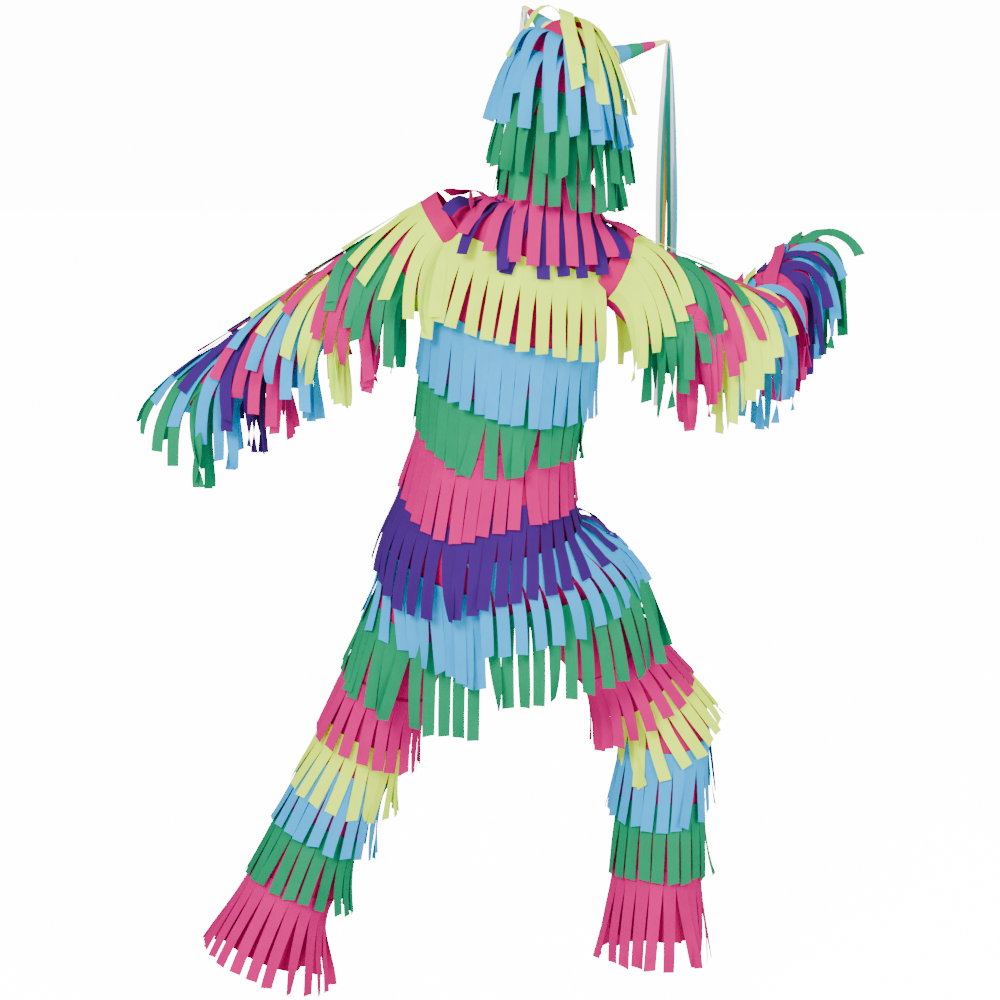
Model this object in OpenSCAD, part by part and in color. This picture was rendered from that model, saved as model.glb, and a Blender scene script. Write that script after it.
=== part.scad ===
// Pinata costume: a hooded one-piece suit covered in rows of cut felt fringe,
// with two horns, horn ribbons and a front zip. It is drawn as it is worn,
// with nobody in it, in a wide dancing step.
//
// Origin: the centre of the neck opening. +Z is up, +Y is the front of the suit
// and -X is the wearer's left. Millimetres and degrees.

/* [Bodice] */
// Half width of the chest
chest_half_width = 154; // [150:1:156]
// Half width of the waist
waist_half_width = 138; // [134:1:142]
// Half width of the hips
hip_half_width = 158; // [154:1:162]
// Distance from the spine line to the front of the chest
front_depth = 118; // [114:1:120]
// Distance from the spine line to the back of the chest
back_depth = 104; // [100:1:108]
// Radius of the neck opening
neck_radius = 68; // [66:1:70]

/* [Sleeves and legs] */
// Shoulder to elbow
upper_arm_length = 275; // [271:1:279]
// Elbow to cuff
forearm_length = 268; // [264:1:272]
// Hip to knee
thigh_length = 428; // [423:1:433]
// Knee to hem
shin_length = 440; // [435:1:445]
// Sleeve radius at the shoulder
shoulder_radius = 60; // [58:1:61]
// Sleeve radius at the elbow
elbow_radius = 53; // [51:1:54]
// Sleeve radius at the cuff
cuff_radius = 45; // [43:1:47]
// Trouser radius where the leg leaves the seat
leg_top_radius = 90; // [88:1:92]
// Trouser radius at the knee
knee_radius = 80; // [78:1:82]
// Trouser radius at the hem
hem_radius = 84; // [82:1:86]

/* [Hood and horns] */
// Height of the hood above the neck seam
hood_height = 268; // [262:1:272]
// Half width of the hood
hood_half_width = 86; // [84:1:88]
// Half depth of the hood, front to back
hood_half_depth = 100; // [98:1:102]
// Horn length from the hood to the tip
horn_length = 160; // [155:1:165]
// Horn radius at its base
horn_radius = 17; // [15:1:18]
// Length of the ribbons tied to each horn tip
ribbon_length = 650; // [600:10:670]

/* [Fringe] */
// Height of a fringe row, from its stitching to the tips
fringe_length = 146; // [140:1:150]
// Distance between rows on the sleeves
sleeve_row_spacing = 57; // [56:1:58]
// Thickness of the suit's cloth
cloth = 2; // [1.8:0.1:2.2]
// Thickness that a fringe row takes up
felt = 1.6; // [1.4:0.1:1.8]
// How far the tips of a row stand out from its stitching
flare = 13; // [12:1:14]

/* [Hidden] */

magenta = "#e5479a";
yellow = "#e9f58f";
cyan = "#5cc6e4";
green = "#3fb27f";
purple = "#553a94";
metal = "#c9ccd1";

// ---- Pose: where the suit's joints are and how each part points ----
LEFT = 0;
RIGHT = 1;
shoulder = [[-172, 10, -55], [112, 10, -115]];
hip = [[-184, 120, -653], [-28, 120, -647]];
upper_arm_dir = [heading(175, -33), heading(14, -24)];
forearm_dir = [heading(172, -34), heading(56, 23)];
thigh_dir = [slant(-23, 11), slant(39, 14)];
shin_dir = [slant(-26, -6), slant(-3, -5)];

// Gaps that leave the rigid sleeve and leg tubes room to bend at the joints
armhole_gap = 54;
elbow_gap = 22;
hip_gap = 150;
knee_gap = 30;

// A direction from a compass angle (0 is +X, 90 is +Y) and an angle above the horizon
function heading(compass, climb) =
  [cos(climb) * cos(compass), cos(climb) * sin(compass), sin(climb)];

// A downward direction that leans sideways and then forwards
function slant(sideways, forwards) =
  [sin(sideways) * cos(forwards), sin(forwards), -cos(sideways) * cos(forwards)];

function unit(v) = v / norm(v);
function mix(a, b, share) = a + (b - a) * share;
function clamp(x) = min(1, max(0, x));

// ---- Shapes: each is a function of (angle round, level along, offset outwards) ----

// The bodice and seat. Level 0 is the neck, and levels go down. Angle 90 is the front.
side_lean = 0.155;
back_lean = 0.19;
spine_start = [-22, 0, 0];
front_rise = 0.055;
neck_level = 24;
yoke_level = -60;
seat_level = -655;

half_width = [
  [seat_level, 205], [-600, 172], [-550, hip_half_width], [-441, waist_half_width],
  [-340, 146], [-224, chest_half_width], [-110, 153], [yoke_level, 140], [-28, 100],
  [-8, neck_radius + 6], [neck_level, neck_radius]
];
back_half_depth = [
  [seat_level, 128], [-550, 118], [-441, back_depth - 6], [-224, back_depth + 6],
  [-110, back_depth], [yoke_level, 92], [-28, 80], [-8, neck_radius + 2], [neck_level, neck_radius]
];
front_half_depth = [
  [seat_level, front_depth], [-110, front_depth], [yoke_level, front_depth - 8],
  [-28, 86], [-8, neck_radius + 2], [neck_level, neck_radius]
];
spine_x = [
  [seat_level, -70], [-600, spine_start.x - side_lean * 590],
  [yoke_level, spine_start.x + side_lean * yoke_level], [-8, -3], [neck_level, 2]
];
side_drop = [
  [seat_level, -24], [-550, 2], [-441, 14], [-340, 22], [-224, 34], [-110, 48],
  [yoke_level, 40], [-28, 12], [-8, 0], [neck_level, 0]
];
bodice_creases = [for (i = [len(half_width) - 1:-1:0]) half_width[i][0]];
function bodice_rise(level) = level > yoke_level
  ? 16.3 * clamp((level + 8) / (yoke_level + 8))
  : 13 - front_rise * level;

bodice = function(a, level, off)
  let (
    depth = (sin(a) > 0 ? lookup(level, front_half_depth) : lookup(level, back_half_depth)) + off,
    width = lookup(level, half_width) + off
  )
  [
    lookup(level, spine_x) + width * cos(a),
    -back_lean * level + depth * sin(a),
    level + bodice_rise(level) * sin(a) - lookup(level, side_drop) * cos(a)
  ];

// The hood. Level 0 is the neck seam and levels go up to the crown.
hood_lean = 0.19;
hood_seam = 28;
hood_share = [
  [0, 0.84], [0.2, 0.95], [0.5, 1], [0.72, 0.95], [0.86, 0.76], [0.95, 0.48], [1, 0.16]
];
hood_creases = [for (i = [len(hood_share) - 1:-1:0]) hood_height * hood_share[i][0]];
hood = function(a, level, off)
  let (
    share = level / hood_height,
    size = lookup(share, hood_share),
    turned = clamp(level / 60)
  )
  [
    2 + hood_lean * level + (hood_half_width * size + off) * cos(a),
    2 + (hood_half_depth * size + off) * sin(a),
    hood_seam + level + turned * (9 * sin(a) - 16 * cos(a)) * size
  ];

// A sleeve or leg that bends once. The level is the distance from its first joint.
bend = 62;
function forward_of(d) = unit([0, 1, 0] - d * d.y);
function outward(d, a) = cos(a) * cross(d, forward_of(d)) + sin(a) * forward_of(d);
function limb_dir(first, second, length, level) =
  unit(mix(first, second, clamp(0.5 + (level - length) / (2 * bend))));
function limb(start, first, second, length, radii) = function(a, level, off)
  start + min(level, length) * first + max(0, level - length) * second
    + (lookup(level, radii) + off) * outward(limb_dir(first, second, length, level), a);

function limb_creases(length) = [for (i = [-2:2]) length + i * bend / 2];

arm_length = upper_arm_length + forearm_length;
leg_length = thigh_length + shin_length;
arm = [for (side = [LEFT, RIGHT])
  limb(shoulder[side], upper_arm_dir[side], forearm_dir[side], upper_arm_length,
       [[0, shoulder_radius], [upper_arm_length, elbow_radius], [arm_length, cuff_radius]])];
leg = [for (side = [LEFT, RIGHT])
  limb(hip[side], thigh_dir[side], shin_dir[side], thigh_length,
       [[0, leg_top_radius], [thigh_length, knee_radius], [leg_length, hem_radius]])];

// A fringe sewn round a limb at one level. Under the limb, where the strips come away
// from the cloth, part of each strip falls straight down; on top it follows the limb.
function hanging(shape, first, second, length, start, most) = function(a, level, off)
  let (
    d = limb_dir(first, second, length, level),
    fall = most * clamp(0.45 - outward(d, a).z)
  )
  mix(shape(a, level, off), shape(a, start, off) + [0, 0, start - level], fall);

// ---- Solids ----

// Joins a row of equal polygons into one solid, round a loop or with two end caps. The
// inner and outer walls are split along the same diagonals, so they stay a sheet apart.
module sweep(sections, loop) {
  count = len(sections);
  size = len(sections[0]);
  half = size / 2;
  last = loop ? count - 1 : count - 2;
  sides = [
    for (j = [0:last], i = [0:size - 1])
      let (
        k = (j + 1) % count,
        n = (i + 1) % size,
        corners = [j * size + i, k * size + i, k * size + n, j * size + n]
      )
      each i < half
        ? [[corners[0], corners[1], corners[2]], [corners[0], corners[2], corners[3]]]
        : [[corners[0], corners[1], corners[3]], [corners[1], corners[2], corners[3]]]
  ];
  caps = loop ? [] : [
    for (i = [0:half - 2])
      let (e = (count - 1) * size)
      each [
        [i, i + 1, size - 2 - i], [i, size - 2 - i, size - 1 - i],
        [e + i, e + size - 2 - i, e + i + 1], [e + i, e + size - 1 - i, e + size - 2 - i]
      ]
  ];
  polyhedron(points = [for (s = sections) each s], faces = concat(sides, caps));
}

// A sheet of cloth over part of a shape, from one level to another. It has a ring of
// points at each end, at each crease of the shape between them, and evenly in between.
function between(x, a, b) = x > min(a, b) + 3 && x < max(a, b) - 3;
function sorted(list) = len(list) < 2 ? list : let (
  pivot = list[0],
  rest = [for (i = [1:len(list) - 1]) list[i]]
) concat(
  sorted([for (x = rest) if (x < pivot) x]), [pivot], sorted([for (x = rest) if (x >= pivot) x])
);

module band(shape, level0, level1, off0, off1, creases, a0 = 0, a1 = 360, steps = 1, sides = 20) {
  thickness = off0 < 0 ? cloth : felt;
  loop = a1 - a0 == 360;
  even = [for (i = [0:steps]) i / steps];
  folds = [for (x = creases) if (between(x, level0, level1)) (x - level0) / (level1 - level0)];
  rings = sorted(concat(even, [for (x = folds) if (min([for (e = even) abs(x - e)]) > 0.02) x]));
  inside = function(a, t) shape(a, mix(level0, level1, t), mix(off0, off1, t));
  outside = function(a, t) shape(a, mix(level0, level1, t), mix(off0, off1, t) + thickness);
  sections = [
    for (j = [0:loop ? sides - 1 : sides])
      let (a = a0 + (a1 - a0) * j / sides)
      concat([for (t = rings) inside(a, t)],
             [for (i = [len(rings) - 1:-1:0]) outside(a, rings[i])])
  ];
  sweep(sections, loop);
}

// ---- Suit panels ----
seam = 0.6;
zip_half_angle = 8;
armhole_radius = 90;
armhole_length = 160;
armhole_drop = 14;

module armholes() {
  for (side = [LEFT, RIGHT])
    translate(shoulder[side] + [0, 0, -armhole_drop])
      rotate([0, 90, side == LEFT ? 180 : 0])
        cylinder(h = armhole_length, r = armhole_radius, $fn = 16);
}

module bodice_panel(a0, a1, sides) {
  color(magenta) difference() {
    band(bodice, neck_level, seat_level, -cloth, -cloth, bodice_creases, a0, a1, 1, sides);
    armholes();
  }
}

module back_panel() { bodice_panel(180 + seam, 360 - seam, 16); }
module front_left_panel() { bodice_panel(90 + zip_half_angle, 180 - seam, 8); }
module front_right_panel() { bodice_panel(seam, 90 - zip_half_angle, 8); }

// A loop of tape inside the nape that the suit hangs from
module hanger_loop() {
  color(purple)
    translate([2, -neck_radius + 7, 4])
      rotate([90, 0, 0])
        rotate_extrude(angle = 180, $fn = 40)
          translate([14, -2]) square([2, 4]);
}

// ---- Zip ----
zip_top_level = -62;
zip_bottom_level = -540;
zip_line = zip_point(zip_top_level) - zip_point(zip_bottom_level);
zip_length = norm(zip_line);
zip_side_angle = atan2(zip_line.x, zip_line.z);
zip_back_angle = asin(-zip_line.y / zip_length);
chain_width = 6;
chain_depth = 3;
tape_width = 15;
tape = 1;
slider_length = 15;
slider_clearance = 0.5;
slider_plate = 1.4;
pull_pin_radius = 1.2;
pull_gap = 0.5;

function zip_point(level) = bodice(90, level, -cloth / 2);

// Moves a piece drawn along Z, with its face towards +Y, onto the zip line
module on_zip(level) {
  translate(zip_point(level))
    rotate([0, zip_side_angle, 0]) rotate([zip_back_angle, 0, 0]) children();
}

module zip_tapes() {
  color(magenta) on_zip(zip_bottom_level)
    for (s = [-1, 1])
      translate([s > 0 ? chain_width / 2 : -chain_width / 2 - tape_width, -tape / 2, 0])
        cube([tape_width, tape, zip_length]);
}

module zip_teeth() {
  pitch = 8;
  color(metal) on_zip(zip_bottom_level) {
    translate([-1, -0.8, 8]) cube([2, 1.6, zip_length - 16]);
    for (z = [10:pitch:zip_length - 16], s = [-1, 1])
      translate([s > 0 ? 0 : -chain_width / 2, -chain_depth / 2, z + (s > 0 ? 0 : pitch / 2)])
        cube([chain_width / 2 - 0.02, chain_depth, 2.6]);
  }
}

// The metal clamps that stop the slider at each end of the chain
module zip_stops() {
  color(metal) on_zip(zip_bottom_level)
    for (z = [1, zip_length - 5])
      translate([-chain_width / 2 + 0.05, -chain_depth / 2, z])
        cube([chain_width - 0.1, chain_depth, 4]);
}

slider_half_width = chain_width / 2 + 2.4;
slider_half_depth = chain_depth / 2 + slider_clearance + slider_plate;
lug_height = 4.4;
pin_out = slider_half_depth + 2.2;

module zip_slider() {
  channel = chain_width + 2 * slider_clearance;
  inner = chain_depth + 2 * slider_clearance;
  color(metal) on_zip(zip_top_level) translate([0, 0, -8 - slider_length]) {
    difference() {
      translate([-slider_half_width, -slider_half_depth, 0])
        cube([2 * slider_half_width, 2 * slider_half_depth, slider_length]);
      translate([-channel / 2, -inner / 2, -1])
        cube([channel, inner, slider_length + 2]);
      translate([-slider_half_width - 1, -tape / 2 - slider_clearance, -1])
        cube([2 * slider_half_width + 2, tape + 2 * slider_clearance, slider_length + 2]);
    }
    for (s = [-1, 1])
      translate([s > 0 ? 2 : -3, slider_half_depth, 4])
        cube([1, lug_height, 6]);
    translate([-2, pin_out, 7]) rotate([0, 90, 0])
      cylinder(h = 4, r = pull_pin_radius, $fn = 24);
  }
}

module zip_pull() {
  eye = pull_pin_radius + 0.05;
  color(metal) on_zip(zip_top_level)
    translate([0, pin_out, -8 - slider_length + 7]) {
      rotate([0, 90, 0]) difference() {
        cylinder(h = 3, r = eye + 0.9, center = true, $fn = 24);
        cylinder(h = 4, r = eye, center = true, $fn = 24);
      }
      translate([-1.5, -0.7, -24]) cube([3, 1.4, 24 - eye - 0.3]);
      translate([-4, -0.7, -46]) difference() {
        cube([8, 1.4, 22.2]);
        translate([2, -1, 2]) cube([4, 4, 8]);
      }
    }
}

// ---- Fringe rows on the bodice ----
row_offset = 1.6;
front_opening = 12;

// The seam levels of the rows, from the neck down
magenta_collar_seam = 18;
purple_collar_seam = 6;
chest_seam = -84;
midriff_seam = -212;
waist_seam = -305;
hip_seam = -405;
upper_seat_seam = -506;
middle_seat_seam = -604;
lower_seat_seam = -686;

// The magenta collar lies over the purple one
magenta_collar_length = 110;
magenta_collar_offset = 10;
purple_collar_length = 124;
purple_collar_offset = 3.4;
collar_flare = 12;
purple_collar_flare = 7.6;
midriff_length = 126;

module open_row(shade, seam_level, length, offset, spread, sides) {
  color(shade)
    band(bodice, seam_level, seam_level - length, offset, offset + spread, bodice_creases,
         90 + front_opening, 450 - front_opening, 1, sides);
}
module bodice_row(shade, seam_level, length = fringe_length) {
  open_row(shade, seam_level, length, row_offset, flare, 26);
}

module collar_fringe_magenta() {
  open_row(magenta, magenta_collar_seam, magenta_collar_length, magenta_collar_offset, collar_flare, 28);
}
module collar_fringe_purple() {
  open_row(purple, purple_collar_seam, purple_collar_length, purple_collar_offset,
           purple_collar_flare, 28);
}
// The chest row stops short of the armholes, so it comes in a back and two front lengths
module chest_fringe_yellow() {
  color(yellow)
    for (span = [[214, 326, 11], [102, 146, 5], [34, 78, 5]])
      band(bodice, chest_seam, chest_seam - fringe_length, row_offset,
           row_offset + flare, bodice_creases, span[0], span[1], 1, span[2]);
}
module midriff_fringe_cyan() { bodice_row(cyan, midriff_seam, midriff_length); }
module waist_fringe_green() { bodice_row(green, waist_seam); }
module hip_fringe_magenta() { bodice_row(magenta, hip_seam); }
module seat_fringe_purple() { bodice_row(purple, upper_seat_seam); }

// The two lowest rows spread over the tops of both legs and hang between them
left_spread = 0.5;
right_spread = 0.9;
front_spread = 0.35;
back_taper = -0.3;
seat_edge = seat_level + 5;
seat = function(a, level, off)
  let (
    edge = max(level, seat_edge),
    drop = edge - level,
    sideways = cos(a) > 0 ? right_spread : left_spread,
    forwards = sin(a) > 0 ? front_spread : back_taper
  )
  bodice(a, edge, off) + drop * [sideways * cos(a), forwards * sin(a), -1];
module seat_row(shade, seam_level) {
  color(shade)
    band(seat, seam_level, seam_level - fringe_length, row_offset, row_offset + flare,
         concat(bodice_creases, [seat_edge]), 0, 360, 2, 32);
}
module seat_fringe_cyan() { seat_row(cyan, middle_seat_seam); }
module seat_fringe_green() { seat_row(green, lower_seat_seam); }

// ---- Hood ----
face_width = 62;
face_height = 80;
face_level = 118;

module hood_shell() {
  color(magenta) difference() {
    union() {
      band(hood, 0, hood_height, -cloth, -cloth, hood_creases, 0, 360, 5, 24);
      translate([2 + hood_lean * hood_height, 2, hood_seam + hood_height - 3])
        cylinder(h = 2.4, r = 0.16 * hood_half_depth + 1, $fn = 12);
    }
    translate([2 + hood_lean * face_level, 20, hood_seam + face_level])
      rotate([-90, 0, 0])
        linear_extrude(120)
          polygon([for (a = [0:30:330]) [face_width * cos(a), face_height * sin(a)]]);
  }
}

module hood_row(shade, level, a0, a1, off, length, spread) {
  color(shade)
    band(hood, level, level - length, off, off + spread, hood_creases, a0, a1, 2, 22);
}
// The mane lies over the cyan row, and hangs from just below the crown
mane_length = 132;
mane_seam = hood_height - 2;
hood_seam_level = 206;
hood_row_length = 146;
hood_row_ends = [142, 398];
module mane_fringe_yellow() { hood_row(yellow, mane_seam, 150, 390, 15, mane_length, 10); }
module hood_fringe_cyan() {
  hood_row(cyan, hood_seam_level, hood_row_ends[0], hood_row_ends[1], 9, hood_row_length, 11);
}

// The lowest hood row hangs past the neck seam, outside the collar
skirt_seam_level = 128;
skirt_edge = 20;
hood_skirt = function(a, level, off)
  let (edge = max(level, skirt_edge))
  hood(a, edge, off + 0.3 * (edge - level)) + [0, 0, level - edge];
module hood_fringe_green() {
  color(green)
    band(hood_skirt, skirt_seam_level, -skirt_edge, 2, 20, hood_creases,
         hood_row_ends[0], hood_row_ends[1], 4, 22);
}

// ---- Horns and ribbons ----
horn_base = [[16, 62, 268], [92, 68, 228]];
horn_dir = [heading(110, 21), heading(38, 13)];
horn_tip = [for (side = [LEFT, RIGHT]) horn_base[side] + horn_length * horn_dir[side]];
horn_tip_radius = 2.5;
horn_bands = 5;

// A padded cone sewn from five bands of cloth
module horn(side) {
  d = horn_dir[side];
  step = horn_length / horn_bands;
  color(yellow)
    translate(horn_base[side])
      rotate([0, 90 - asin(d.z), atan2(d.y, d.x)])
        for (i = [0:horn_bands - 1]) {
          r0 = mix(horn_radius, horn_tip_radius, i / horn_bands);
          r1 = mix(horn_radius, horn_tip_radius, (i + 1) / horn_bands);
          translate([0, 0, i * step]) cylinder(h = step - 0.2, r1 = r0, r2 = r1, $fn = 24);
        }
}

ribbon_width = 7;
ribbon_gap = 0.4;
ribbon = 0.8;
ribbon_offsets = [[-2, 0], [-1, 1], [0, 0], [1, 1], [2, 0], [0, 2]];

module horn_ribbons(side) {
  top = horn_tip[side] + horn_dir[side] * 4;
  color("white") translate(top) {
    translate([0, 0, -4]) cylinder(h = 8, r = 2.4, $fn = 16);
    for (o = ribbon_offsets)
      translate([o.x * (ribbon_width + ribbon_gap) - ribbon_width / 2,
                 3 + o.y * 2, -ribbon_length + 14 * abs(o.x) + 6 * o.y])
        cube([ribbon_width, ribbon, ribbon_length - 14 * abs(o.x) - 6 * o.y - 4.2]);
  }
}

// ---- Sleeves ----
module sleeve(side, start, end) {
  color(magenta) band(arm[side], start, end, -cloth, -cloth, limb_creases(upper_arm_length));
}
module upper_sleeve(side) { sleeve(side, armhole_gap, upper_arm_length - elbow_gap); }
module forearm_sleeve(side) { sleeve(side, upper_arm_length + elbow_gap, arm_length); }

// Row 0 is at the shoulder and row 8 at the cuff. The first rows are open at the
// armpit, where the sleeve meets the bodice.
sleeve_fringe = 132;
sleeve_flare = 14;
first_row = 48;
armpit_angle = [0, 180];
armpit_opening = [96, 82, 52, 0, 0, 0, 0, 0, 0];
// Near the bent elbow the strips stay along the sleeve
function sleeve_fall(side, row) = side == RIGHT && row > 1 ? 0 : 0.5;

module sleeve_row(side, row) {
  start = first_row + row * sleeve_row_spacing;
  open = armpit_opening[row];
  hung = hanging(arm[side], upper_arm_dir[side], forearm_dir[side], upper_arm_length,
                 start, sleeve_fall(side, row));
  band(hung, start, start + sleeve_fringe, row_offset, row_offset + sleeve_flare,
       limb_creases(upper_arm_length),
       armpit_angle[side] + open, armpit_angle[side] + 360 - open,
       1, open > 0 ? 14 : 20);
}

module shoulder_fringe_yellow(side) {
  color(yellow) for (row = [0, 3]) sleeve_row(side, row);
}
module sleeve_fringe_green(side) { color(green) sleeve_row(side, 1); }
module sleeve_fringe_magenta(side) { color(magenta) sleeve_row(side, 2); }
module sleeve_fringe_cyan(side) { color(cyan) sleeve_row(side, 4); }
module forearm_fringe_magenta(side) { color(magenta) sleeve_row(side, 5); }
module forearm_fringe_purple(side) { color(purple) sleeve_row(side, 6); }
module forearm_fringe_cyan(side) { color(cyan) sleeve_row(side, 7); }
module cuff_fringe_green(side) { color(green) sleeve_row(side, 8); }

// ---- Legs ----
module trouser(side, start, end) {
  color(magenta)
    band(leg[side], start, end, -cloth, -cloth, limb_creases(thigh_length), sides = 24);
}
module thigh(side) { trouser(side, hip_gap, thigh_length - knee_gap); }
module shin(side) { trouser(side, thigh_length + knee_gap, leg_length); }

leg_fall = 0.2;
// Seam levels of the rows, thigh to hem, down the left leg and down the right leg
leg_seams = [[262, 372, 458, 573, 698], [250, 350, 495, 613, 715]];
hem_length = 180;
module leg_row(side, row, length = fringe_length) {
  start = leg_seams[side][row];
  hung = hanging(leg[side], thigh_dir[side], shin_dir[side], thigh_length, start, leg_fall);
  band(hung, start, start + length, row_offset, row_offset + flare,
       limb_creases(thigh_length), sides = 24);
}
module thigh_fringe_magenta(side) { color(magenta) leg_row(side, 0); }
module knee_fringe_yellow(side) { color(yellow) leg_row(side, 1); }
module shin_fringe_cyan(side) { color(cyan) leg_row(side, 2); }
module shin_fringe_green(side) { color(green) leg_row(side, 3); }
module hem_fringe_magenta(side) { color(magenta) leg_row(side, 4, hem_length); }

// ---- One line for each node ----
back_panel();
front_left_panel();
front_right_panel();
hanger_loop();
zip_tapes();
zip_teeth();
zip_stops();
zip_slider();
zip_pull();
collar_fringe_magenta();
collar_fringe_purple();
chest_fringe_yellow();
midriff_fringe_cyan();
waist_fringe_green();
hip_fringe_magenta();
seat_fringe_purple();
seat_fringe_cyan();
seat_fringe_green();
hood_shell();
mane_fringe_yellow();
hood_fringe_cyan();
hood_fringe_green();
horn(LEFT);  // left_horn
horn(RIGHT);  // right_horn
horn_ribbons(LEFT);  // left_horn_ribbons
horn_ribbons(RIGHT);  // right_horn_ribbons
upper_sleeve(LEFT);  // left_upper_sleeve
forearm_sleeve(LEFT);  // left_forearm_sleeve
shoulder_fringe_yellow(LEFT);  // left_shoulder_fringe_yellow
sleeve_fringe_green(LEFT);  // left_sleeve_fringe_green
sleeve_fringe_magenta(LEFT);  // left_sleeve_fringe_magenta
sleeve_fringe_cyan(LEFT);  // left_sleeve_fringe_cyan
forearm_fringe_magenta(LEFT);  // left_forearm_fringe_magenta
forearm_fringe_purple(LEFT);  // left_forearm_fringe_purple
forearm_fringe_cyan(LEFT);  // left_forearm_fringe_cyan
cuff_fringe_green(LEFT);  // left_cuff_fringe_green
upper_sleeve(RIGHT);  // right_upper_sleeve
forearm_sleeve(RIGHT);  // right_forearm_sleeve
shoulder_fringe_yellow(RIGHT);  // right_shoulder_fringe_yellow
sleeve_fringe_green(RIGHT);  // right_sleeve_fringe_green
sleeve_fringe_magenta(RIGHT);  // right_sleeve_fringe_magenta
sleeve_fringe_cyan(RIGHT);  // right_sleeve_fringe_cyan
forearm_fringe_magenta(RIGHT);  // right_forearm_fringe_magenta
forearm_fringe_purple(RIGHT);  // right_forearm_fringe_purple
forearm_fringe_cyan(RIGHT);  // right_forearm_fringe_cyan
cuff_fringe_green(RIGHT);  // right_cuff_fringe_green
thigh(LEFT);  // left_thigh
shin(LEFT);  // left_shin
thigh_fringe_magenta(LEFT);  // left_thigh_fringe_magenta
knee_fringe_yellow(LEFT);  // left_knee_fringe_yellow
shin_fringe_cyan(LEFT);  // left_shin_fringe_cyan
shin_fringe_green(LEFT);  // left_shin_fringe_green
hem_fringe_magenta(LEFT);  // left_hem_fringe_magenta
thigh(RIGHT);  // right_thigh
shin(RIGHT);  // right_shin
thigh_fringe_magenta(RIGHT);  // right_thigh_fringe_magenta
knee_fringe_yellow(RIGHT);  // right_knee_fringe_yellow
shin_fringe_cyan(RIGHT);  // right_shin_fringe_cyan
shin_fringe_green(RIGHT);  // right_shin_fringe_green
hem_fringe_magenta(RIGHT);  // right_hem_fringe_magenta
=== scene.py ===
"""The looks of the fringed pinata costume: cut felt strips laid over the suit, in metres.

Every strip of fringe is laid by walking down it from its seam in short steps. At each step it turns a
little towards the ground, and is pushed out of the suit where it would sink in.
"""

import math

import bpy
import numpy as np
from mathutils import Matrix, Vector


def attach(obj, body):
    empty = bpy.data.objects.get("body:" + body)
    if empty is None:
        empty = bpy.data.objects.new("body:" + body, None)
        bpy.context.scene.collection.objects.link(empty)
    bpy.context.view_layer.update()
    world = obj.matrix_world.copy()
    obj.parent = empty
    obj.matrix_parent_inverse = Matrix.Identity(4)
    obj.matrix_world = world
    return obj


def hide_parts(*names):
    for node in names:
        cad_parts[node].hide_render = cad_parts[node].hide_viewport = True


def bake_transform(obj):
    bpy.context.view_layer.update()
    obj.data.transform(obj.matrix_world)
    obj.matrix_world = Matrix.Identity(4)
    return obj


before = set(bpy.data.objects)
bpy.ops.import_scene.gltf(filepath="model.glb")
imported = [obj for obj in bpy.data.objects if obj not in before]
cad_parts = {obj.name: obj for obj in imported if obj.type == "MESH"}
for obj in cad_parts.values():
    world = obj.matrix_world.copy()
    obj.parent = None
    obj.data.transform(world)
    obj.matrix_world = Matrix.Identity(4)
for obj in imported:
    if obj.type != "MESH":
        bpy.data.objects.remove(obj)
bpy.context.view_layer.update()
random = np.random.default_rng(7)

LEFT, RIGHT = 0, 1
SIDES = ("left", "right")
DOWN = np.array([0.0, 0.0, -1.0])

# ---------------------------------------------------------------- camera

# Behind the suit, at the height of its neck, and looking a little down
CAMERA_PLACE = (-0.079, -3.9, 0.12)
CAMERA_AIM = (-0.079, 0, -0.53)
LENS = 81.3


def make_camera():
    data = bpy.data.cameras.new("camera")
    data.lens = LENS
    data.sensor_width = 36
    camera = bpy.data.objects.new("camera", data)
    bpy.context.scene.collection.objects.link(camera)
    camera.location = CAMERA_PLACE
    aim = Vector(CAMERA_AIM)
    camera.rotation_euler = (aim - camera.location).to_track_quat("-Z", "Y").to_euler()
    bpy.context.scene.camera = camera


make_camera()

# ---------------------------------------------------------------- materials


def linear(code):
    """An sRGB hex colour as linear red, green, blue, alpha."""
    parts = [int(code[i : i + 2], 16) / 255 for i in (1, 3, 5)]
    return (*[c / 12.92 if c <= 0.04045 else ((c + 0.055) / 1.055) ** 2.4 for c in parts], 1.0)


# How bright felt is before noise, and how much the blotches and the grain add at most
BASE_SHADE, BLOTCH_SHADE, GRAIN_SHADE = 0.85, 0.16, 0.14
BLOTCH_SCALE = 28


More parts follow.
